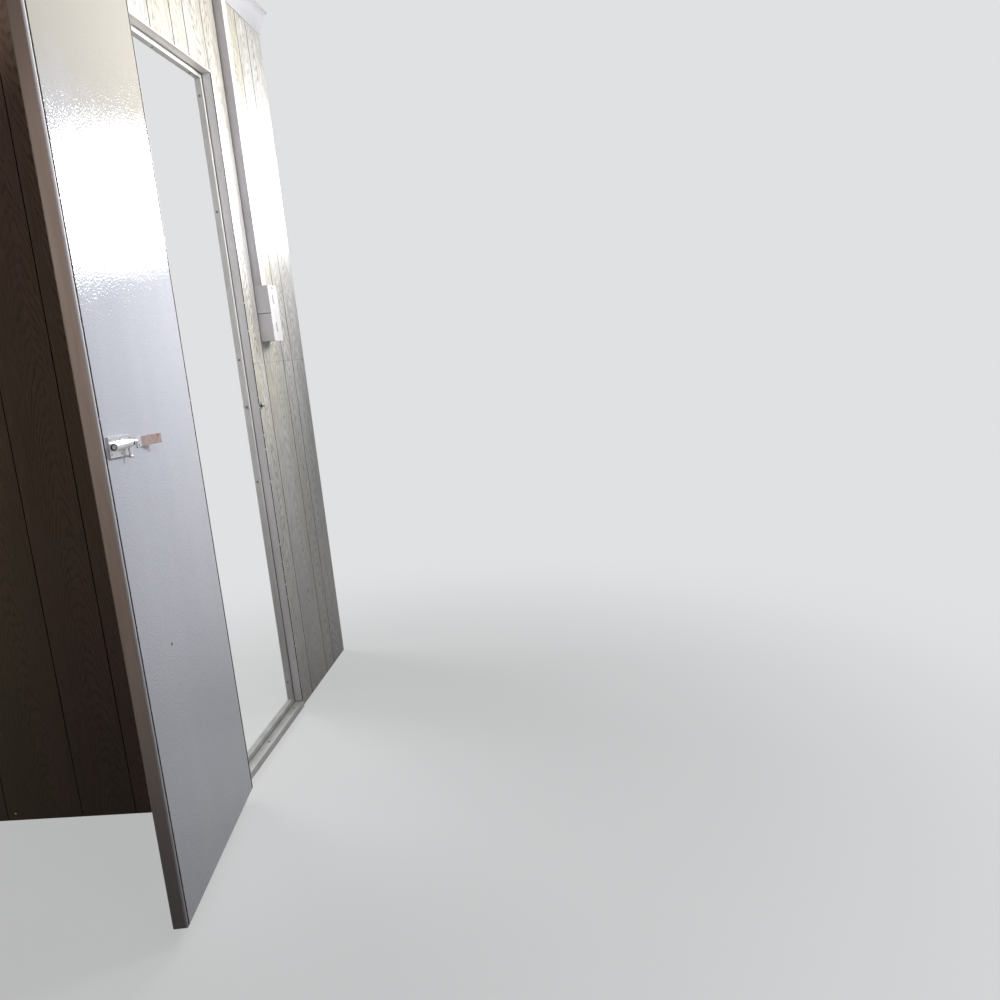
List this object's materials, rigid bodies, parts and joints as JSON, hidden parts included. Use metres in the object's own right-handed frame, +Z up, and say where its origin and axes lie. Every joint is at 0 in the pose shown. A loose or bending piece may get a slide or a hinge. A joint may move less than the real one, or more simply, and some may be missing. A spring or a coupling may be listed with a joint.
{
  "type": "cabin toilet partition with door",
  "caption": "Corner of two panelled stud walls with a rebated metal door frame, a hinged flush door leaf with a barrel bolt, cornice, trunking and wall switches.",
  "frame": {"origin": "on the floor, where the centre planes of the two walls cross, at the foot of the corner post", "axes": "+Z up, +Y along the door wall away from the corner, -X along the return wall away from the corner; the room is on the +X and -Y sides"},
  "size_m": [1.2377, 1.7598, 2.24],
  "materials": {
    "timber": "sawn softwood",
    "wall_board": "satin pale oak print with dark grooves",
    "lining_board": "matt plain board",
    "white_trim": "satin white",
    "frame_metal": "satin white powder coat",
    "threshold_metal": "worn white powder coat",
    "door_skin": "gloss white paint with slight orange peel",
    "door_edging": "satin warm white",
    "hinge_steel": "brushed",
    "bolt_plated": "plated",
    "trunking_plastic": "satin white",
    "switch_plastic": "gloss white"
  },
  "bodies": {
    "partition": {"corner_post": "timber", "lock_stud": "timber", "side_stud": "timber", "end_stud": "timber", "header_rail": "timber", "return_stud": "timber", "return_end_stud": "timber", "floor_plate_side": "timber", "floor_plate_return": "timber", "top_plate_door_wall": "timber", "top_plate_return": "timber", "board_corner": "wall_board", "board_side": "wall_board", "board_over_door": "wall_board", "board_return": "wall_board", "lining_side": "lining_board", "lining_over_door": "lining_board", "lining_return": "lining_board", "corner_trim": "white_trim", "cornice_door_wall": "white_trim", "cornice_return": "white_trim", "hinge_jamb": "frame_metal", "hinge_stop": "frame_metal", "lock_jamb": "frame_metal", "lock_stop": "frame_metal", "frame_head": "frame_metal", "head_stop": "frame_metal", "threshold": "threshold_metal", "threshold_stop": "threshold_metal", "hinge_upper_frame_half": "hinge_steel", "hinge_middle_frame_half": "hinge_steel", "hinge_lower_frame_half": "hinge_steel", "latch_keep": "bolt_plated", "trunking": "trunking_plastic", "switch_upper": "switch_plastic", "switch_lower": "switch_plastic"},
    "door_leaf": {"door_panel": "door_skin", "door_lock_edging": "door_edging", "door_hinge_edging": "door_edging", "hinge_upper_door_half": "hinge_steel", "hinge_middle_door_half": "hinge_steel", "hinge_lower_door_half": "hinge_steel", "bolt_barrel": "bolt_plated", "bolt_strap": "bolt_plated"},
    "bolt_rod": {"bolt_rod": "bolt_plated"}
  },
  "joints": [
    {"name": "door_swing", "type": "hinge", "parent": "partition", "child": "door_leaf", "pos_m": [0.038, 0.029, 0.973], "axis": [0, 0, 1], "range_deg": [-7, 173]},
    {"name": "bolt_slide", "type": "slide", "parent": "door_leaf", "child": "bolt_rod", "axis": [0.1219, -0.9925, 0], "range_m": [0, 0.024]}
  ]
}
